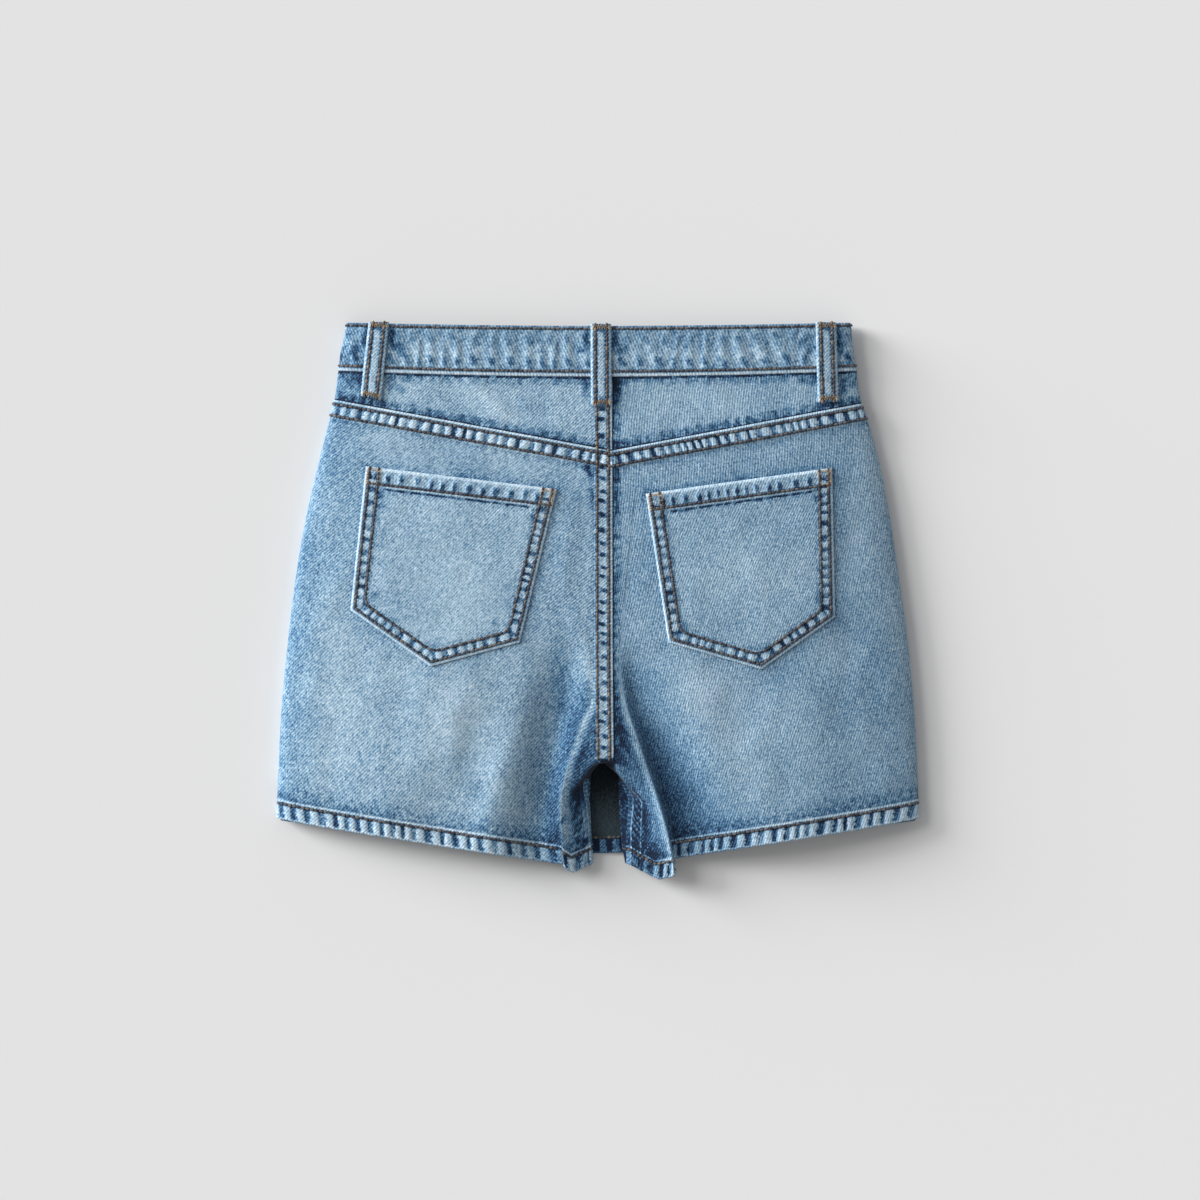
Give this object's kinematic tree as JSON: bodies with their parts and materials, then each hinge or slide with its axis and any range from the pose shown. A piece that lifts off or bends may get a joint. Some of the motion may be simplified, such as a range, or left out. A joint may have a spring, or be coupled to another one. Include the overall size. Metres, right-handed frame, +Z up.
{
  "type": "denim skort, laid flat",
  "caption": "Denim skort laid flat on its front: yoked back with patch pockets, short legs, belt loops, and a skirt panel across the front.",
  "frame": {"origin": "centre of the bounding box, on the surface that the garment lies on", "axes": "+X to the right of the laid garment as seen from above, the wearer's right; +Y towards the waist; +Z up, out of the back"},
  "size_m": [0.4626, 0.3991, 0.0264],
  "materials": {
    "denim": "stone-washed mid blue denim twill, worn pale at seams and edges",
    "denim_front": "the same denim, its unwashed inside grey-green",
    "waistband": "the same denim, doubled, with roped and worn edges",
    "button": "aged brass"
  },
  "bodies": {
    "root": {"back_left": "denim", "back_right": "denim", "yoke_left": "denim", "yoke_right": "denim", "pocket_left": "denim", "pocket_right": "denim", "shorts_front_left": "denim_front", "shorts_front_right": "denim_front", "skirt_front": "denim_front", "waistband": "waistband", "loop_back_left": "waistband", "loop_back_center": "waistband", "loop_back_right": "waistband", "loop_front_left": "waistband", "loop_front_right": "waistband", "button": "button"}
  },
  "joints": []
}
